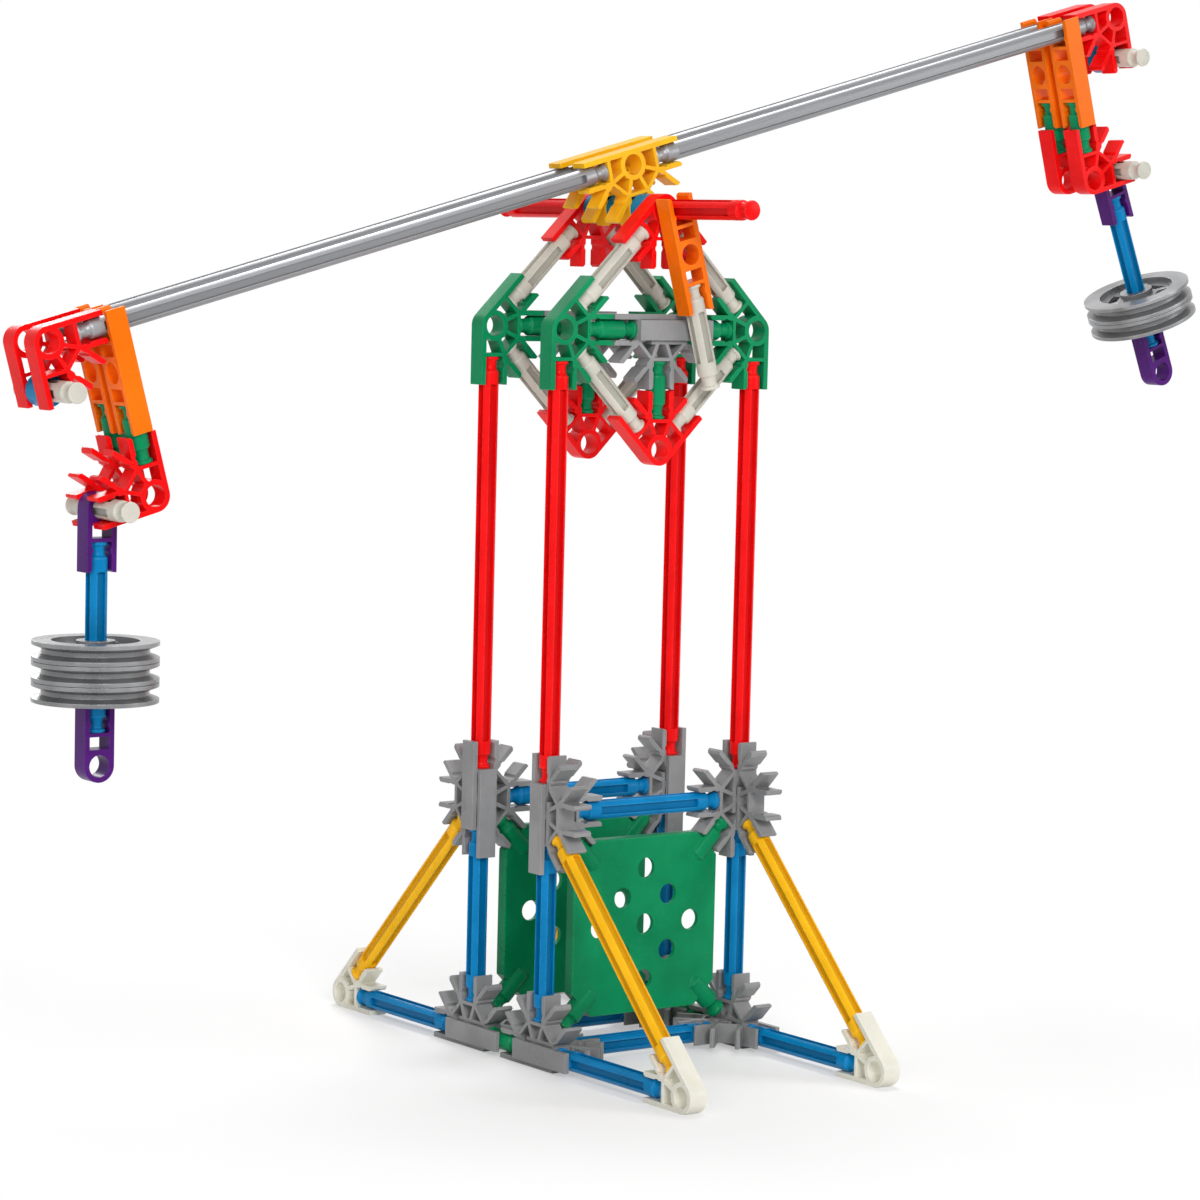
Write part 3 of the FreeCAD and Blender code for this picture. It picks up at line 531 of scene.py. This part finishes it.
# %% Two masks round the section
reach = np.hypot(*section.T)
from_wall = np.abs(np.abs(section) - GROOVE_HALF).min(axis=1)
on_lip = np.isclose(reach, ROD, atol=0.25 * LIP) & (from_wall < 1.2 * LIP)
# sunk is the mask of painted shade: 1 deep in a groove, 0 on the lands.
sunk = np.clip((ROD - reach) / (ROD - 1.25 * GROOVE_FLOOR), 0.0, 1.0)
print("on a lip", int(on_lip.sum()), "in a groove", int((sunk > 0.5).sum()))

# %% [markdown]
# ## The profile of a rod's end
# Every rod has the same ends, whatever its length: a thin disc, a narrow neck for the jaws of a connector,
# and a round collar from which the grooves start. The table goes inwards from the end. Its columns are
# millimetres from the end, the radius, how much of the groove is cut, and how worn the place is. The rows
# come closer together where the outline turns, because that is where a rounding needs them.

# %% The end's table
PROFILE = np.array([
    (0.00, 0.00, 0, 0), (0.00, 2.55, 0, 0), (0.08, 2.82, 0, 1), (0.30, 2.98, 0, 1), (0.45, 3.00, 0, 0),
    (0.72, 3.00, 0, 0), (0.90, 2.92, 0, 1), (1.02, 2.70, 0, 1), (1.25, 2.38, 0, 0), (1.70, 2.22, 0, 0),
    (2.40, 2.20, 0, 0), (3.30, 2.22, 0, 0), (3.95, 2.40, 0, 0), (4.30, 2.70, 0, 0), (4.50, 2.95, 0, 1),
    (4.72, 3.07, 0, 1), (5.00, 3.10, 0, 0), (8.30, 3.10, 0, 0), (8.60, 3.10, 0, 0), (8.72, 3.10, 1, 0),
    (8.90, 3.10, 1, 0)])
print("profile rows", len(PROFILE), "grooves start", PROFILE[PROFILE[:, 2] > 0][0, 0], "mm from the end")

# %% [markdown]
# ## Where each rod lies
# One node may hold several rods, such as all four posts. Their places could be copied from the part's
# source, but then a change there would leave the rods behind, so they are read from the node itself.
# Corners that share an edge belong to one solid, and passing the lowest label from neighbour to neighbour
# gathers them. The longest direction of a solid is the rod's axis, and its first and last points are the
# two end discs.

# %% The ends of the rods in a node
def solids_of(node):
    """The corner points of each solid in a node: joined corners take the lowest label until all agree."""
    mesh = frame["nodes"][node].data
    corners = np.zeros((len(mesh.vertices), 3), np.float32)
    mesh.vertices.foreach_get("co", corners.ravel())
    links = np.zeros((len(mesh.edges), 2), np.int32)
    mesh.edges.foreach_get("vertices", links.ravel())
    points, merged = np.unique(np.round(corners, 7), axis=0, return_inverse=True)
    first, second = merged.ravel()[links].T
    label = np.arange(len(points))
    while (label[first] != label[second]).any():
        lowest = np.minimum(label[first], label[second])
        np.minimum.at(label, first, lowest)
        np.minimum.at(label, second, lowest)
    return [points[label == name].astype(float) for name in np.unique(label)]


def end_discs(solid, thin=0.2 * MM):
    """The centres of both end discs: the mean of the points at each end of the solid's longest direction."""
    way = np.linalg.svd(solid - solid.mean(0), full_matrices=False)[2][0]
    along = solid @ way
    return solid[along < along.min() + thin].mean(0), solid[along > along.max() - thin].mean(0)


rods_of = {node: [end_discs(solid) for solid in solids_of(node)] for node in rod_nodes}
for node, rods in rods_of.items():
    print(node, len(rods), "of", round(float(np.linalg.norm(rods[0][1] - rods[0][0])) / MM, 1), "mm")

# %% [markdown]
# ## The surface of a rod
# A rod is a surface of two parameters: how far along, and how far round. At a station where nothing is cut,
# the ring is the circle at the profile's radius, and where the groove is cut, it is the grooved section.
# The two have the same number of points, so any share of the cut is a plain blend of them. The second end
# is the first one's table, read backwards. A rod shorter than two ends and a bit, as the short green ones
# are, just has no grooves.

# %% All the points of a rod at once
MIDDLE_ROOM = 1.0 * MM


def rod_surface(start, end, across):
    """point(s, k) = start + way * s + circle(k) * radius(s) * (1 - cut(s)) + section(k) * cut(s)."""
    length = np.linalg.norm(end - start)
    way = (end - start) / length
    across = across - way * (across @ way)
    across = across / np.linalg.norm(across)
    other = np.cross(way, across)
    near = PROFILE[PROFILE[:, 0] * MM < length / 2 - MIDDLE_ROOM]
    station = np.concatenate([near[:, 0] * MM, length - near[::-1, 0] * MM])
    radius, cut, wear = np.concatenate([near[:, 1:], near[::-1, 1:]]).T
    flat = circle * (radius * MM * (1 - cut))[:, None, None] + section * cut[:, None, None]
    points = start + way * station[:, None, None] + across * flat[:, :, :1] + other * flat[:, :, 1:]
    # The second array is the worn mask, and the third is the painted shade in the grooves.
    return points, np.maximum(wear[:, None], cut[:, None] * on_lip), cut[:, None] * sunk


for node, rods in rods_of.items():
    print(node, "rings and points round:", rod_surface(*rods[0], np.array([0.6, 0.8, 0.0]))[0].shape[:2])

# %% [markdown]
# ## Grids to a mesh
# A grid of points becomes faces by plain counting: each face takes a point, its neighbour round the ring
# and the same two on the next ring. The first and last ring have shrunk to a point, so merging the doubles
# there closes the end discs. All the rods of a node go into one mesh, because the node is one piece.

# %% Join the grids of a node
SAME_POINT = 0.0001 * MM
CREASE_ANGLE = math.radians(34)


def grid_mesh(name, grids, edges, groove_shades):
    """Quads between neighbouring points, closed round the second parameter, with the two attributes."""
    points, faces, start = [], [], 0
    for grid in grids:
        rows, columns = grid.shape[:2]
        index = start + np.arange(rows * columns).reshape(rows, columns)
        beside = np.roll(index, -1, axis=1)
        faces.append(np.stack([index[:-1], beside[:-1], beside[1:], index[1:]], axis=-1).reshape(-1, 4))
        points.append(grid.reshape(-1, 3))
        start += rows * columns
    mesh = bpy.data.meshes.new(name)
    mesh.from_pydata(np.concatenate(points).tolist(), [], np.concatenate(faces).tolist())
    # edge carries the worn mask, and deep carries the painted shade.
    for attribute, values in (("edge", edges), ("deep", groove_shades)):
        values = np.concatenate([value.ravel() for value in values]).astype(np.float32)
        mesh.attributes.new(attribute, "FLOAT", "POINT").data.foreach_set("value", values)
    work = bmesh.new()
    work.from_mesh(mesh)
    bmesh.ops.remove_doubles(work, verts=work.verts, dist=SAME_POINT)
    bmesh.ops.recalc_face_normals(work, faces=work.faces)
    work.to_mesh(mesh)
    work.free()
    mesh.shade_smooth()
    mesh.set_sharp_from_angle(angle=CREASE_ANGLE)
    return mesh


print("grids to join:", sum(len(rods) for rods in rods_of.values()))

# %% [markdown]
# ## All the rods
# A rod clicks into a socket with a groove square to the connector's plate, so the grooves aren't at any
# angle. For the rods that lie in the plane of the tower or the beam, one groove faces along Y. For those
# that run along Y themselves it faces along X, leaning with the beam if they ride on it.

# %% Build the rods, node by node
for node, rods in rods_of.items():
    run = rods[0][1] - rods[0][0]
    along_y = abs(run[1]) > 0.9 * np.linalg.norm(run)
    lean = BEAM_LEAN if body_of[node] == "beam" else 0.0
    across = np.array([math.cos(lean), 0.0, math.sin(lean)]) if along_y else np.array([0.0, 1.0, 0.0])
    grids, edges, groove_shades = zip(*(rod_surface(start, end, across) for start, end in rods))
    look = "silver_beam" if "beam_rods" in node else None
    piece = finish_piece(grid_mesh(node + "_rods", grids, edges, groove_shades), node, look)
    print(node, len(piece.data.polygons), "faces")

# %% [markdown]
# ## Which rays see plain white
# Behind the object and under it there is only white. A bright world and a glowing floor would do that, and
# they would also light the object from all sides and flatten it. The Light Path node tells the rays apart,
# so that the white can be kept for those of the camera, of reflections and of clear parts. The light that
# falls on the object doesn't see it.

# %% A mask for the rays that look rather than light
def looking_rays(tree):
    """1 for camera, glossy and transmission rays, 0 for the rays that gather light."""
    path = tree.nodes.new("ShaderNodeLightPath")
    ray_names = ("Is Camera Ray", "Is Glossy Ray", "Is Transmission Ray")
    camera_ray, gloss_ray, clear_ray = (Signal(tree, path.outputs[name]) for name in ray_names)
    return (camera_ray + gloss_ray + clear_ray).above(0.0, 0.5)


print("white is seen by camera, glossy and transmission rays")

# %% [markdown]
# ## The floor
# The object stands on a plain pale table that can't be told from the white behind it. A white floor lit by
# lamps never comes out even, and turning the lamps up until it does would bleach the object. So the floor
# is mixed: part matt, which takes the soft shadow at the feet, and part plain white, which grows to the
# whole of it a little way off. The base is narrow and deep, so x is stretched before the distance from its
# middle is taken.

# %% A matt floor that turns into plain white
FLOOR_HALF = 6.0
MATT_REACH, FADE, LEAST_WHITE = 0.16, 0.18, 0.40
corners = [(x * FLOOR_HALF, y * FLOOR_HALF, 0.0) for x, y in ((-1, -1), (1, -1), (1, 1), (-1, 1))]
floor_mesh = bpy.data.meshes.new("floor")
floor_mesh.from_pydata(corners, [], [(0, 1, 2, 3)])
floor = bpy.data.objects.new("floor", floor_mesh)
bpy.context.scene.collection.objects.link(floor)
floor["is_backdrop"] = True
ground = bpy.data.materials.new("ground")
ground.use_nodes = True
ground.node_tree.nodes.clear()
pen = Signal(ground.node_tree)
place = pen.node("ShaderNodeTexCoord", output="Object")
place = pen.node("ShaderNodeMapping", {}, {"Vector": place, "Scale": (1.5, 1.0, 1.0)})
distance = pen.node("ShaderNodeVectorMath", {"operation": "LENGTH"}, {0: place}, "Value")
far = distance.above(MATT_REACH, FADE)
matt = pen.node("ShaderNodeBsdfDiffuse", {}, {"Color": (0.92, 0.92, 0.92, 1.0)})
glow = pen.node("ShaderNodeEmission", {}, {"Color": (1.0, 1.0, 1.0, 1.0), "Strength": 1.0})
share = (far * (1.0 - LEAST_WHITE) + LEAST_WHITE) * looking_rays(ground.node_tree)
surround = pen.node("ShaderNodeMixShader", {}, {0: share, 1: matt, 2: glow})
output = ground.node_tree.nodes.new("ShaderNodeOutputMaterial")
ground.node_tree.links.new(surround.socket, output.inputs["Surface"])
floor_mesh.materials.append(ground)
print("floor", 2 * FLOOR_HALF, "m wide, matt as far as", MATT_REACH, "m from its middle")

# %% [markdown]
# ## The white around
# The world does the same as the far floor: it is plain white to look at, and a much dimmer, even fill as a
# light.

# %% A world with two strengths
FILL = 0.13
world = bpy.data.worlds.new("surround")
bpy.context.scene.world = world
world.use_nodes = True
strength = FILL + looking_rays(world.node_tree) * (1.0 - FILL)
background = world.node_tree.nodes["Background"]
background.inputs["Color"].default_value = (1.0, 1.0, 1.0, 1.0)
world.node_tree.links.new(strength.socket, background.inputs["Strength"])
print("world strength", FILL, "as a light, 1.0 to look at")

# %% [markdown]
# ## The lamps
# Glossy plastic needs something to reflect, and a soft shadow needs a broad source, so all the lamps are
# square panes as in a small studio. The one overhead, a little behind, throws the shadow forwards under the
# base. One above the camera and to its right lights the faces that look at it. The broadest stands to the
# left, so that the wheels reflect an even pane and no bright spot, and two weak ones open the right side
# and the back.

# %% Square lamps that face a point
def soft_lamp(name, place, size, power, target=(0.0, 0.0, 0.18)):
    """An area lamp at a place; its axes are the way back from the target, level to it, and the rest."""
    lamp = bpy.data.lights.new(name, "AREA")
    lamp.size = size
    lamp.energy = power
    item = bpy.data.objects.new(name, lamp)
    bpy.context.scene.collection.objects.link(item)
    back = np.subtract(place, target)
    back = back / np.linalg.norm(back)
    side = np.cross([0.0, 0.0, 1.0], back)
    side = side / np.linalg.norm(side)
    turn = np.eye(4)
    turn[:3] = np.stack([side, np.cross(back, side), back, place], axis=1)
    item.matrix_world = Matrix(turn.tolist())
    print(name, power, "W from", round(float(np.linalg.norm(place)), 2), "m")


soft_lamp("top_lamp", (0.35, 0.35, 1.40), 0.60, 13.5)
soft_lamp("front_lamp", (-0.50, -1.35, 0.80), 0.45, 11.5)
soft_lamp("left_lamp", (-1.20, -0.70, 0.60), 0.80, 6.0)
soft_lamp("right_lamp", (1.00, -1.00, 0.55), 0.50, 4.0)
soft_lamp("back_lamp", (0.20, 1.40, 0.70), 0.50, 5.0)

# %% [markdown]
# ## The camera
# The camera stands 1.2 metres off, at the height of the beam's axle and to the left of the front, and looks
# slightly down, so that the base is seen from above and the axle level. Its turn could be given as three
# Euler angles, but their order is easily confused. Built from three directions, the way it looks, level and
# upright, it can be read off.

# %% Place and turn the camera
CAMERA_PLACE = (-0.7211, -0.9719, 0.2506)
YAW, PITCH, ROLL = (math.radians(angle) for angle in (36.36, -5.20, 1.4))
SENSOR, FOCAL_LENGTH = 36.0, 116.88
look = np.array([math.sin(YAW) * math.cos(PITCH), math.cos(YAW) * math.cos(PITCH), math.sin(PITCH)])
level = np.array([math.cos(YAW), -math.sin(YAW), 0.0])
upright = np.cross(level, look)
turn = np.eye(4)
turn[:3, 0] = math.cos(ROLL) * level + math.sin(ROLL) * upright
turn[:3, 1] = math.cos(ROLL) * upright - math.sin(ROLL) * level
turn[:3, 2] = -look
turn[:3, 3] = CAMERA_PLACE
lens = bpy.data.cameras.new("camera")
lens.sensor_width = SENSOR
lens.lens = FOCAL_LENGTH
lens.clip_start = 0.01
camera = bpy.data.objects.new("camera", lens)
bpy.context.scene.collection.objects.link(camera)
camera.matrix_world = Matrix(turn.tolist())
bpy.context.scene.camera = camera
bpy.context.scene.view_settings.view_transform = "Standard"
print("lens", round(lens.lens, 1), "mm,", round(math.hypot(*CAMERA_PLACE[:2]), 2), "m from the axle")

# %% [markdown]
# ## The two boxes
# The finished pieces must not change the object's size, so the box of the packed model and the box of what
# is seen now are printed side by side.

# %% Print the two boxes
size = {"cad": cad_bounds, "visual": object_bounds()}
size = {name: [[float(value) for value in corner] for corner in box] for name, box in size.items()}
print("cad box", size["cad"], "visual box", size["visual"])
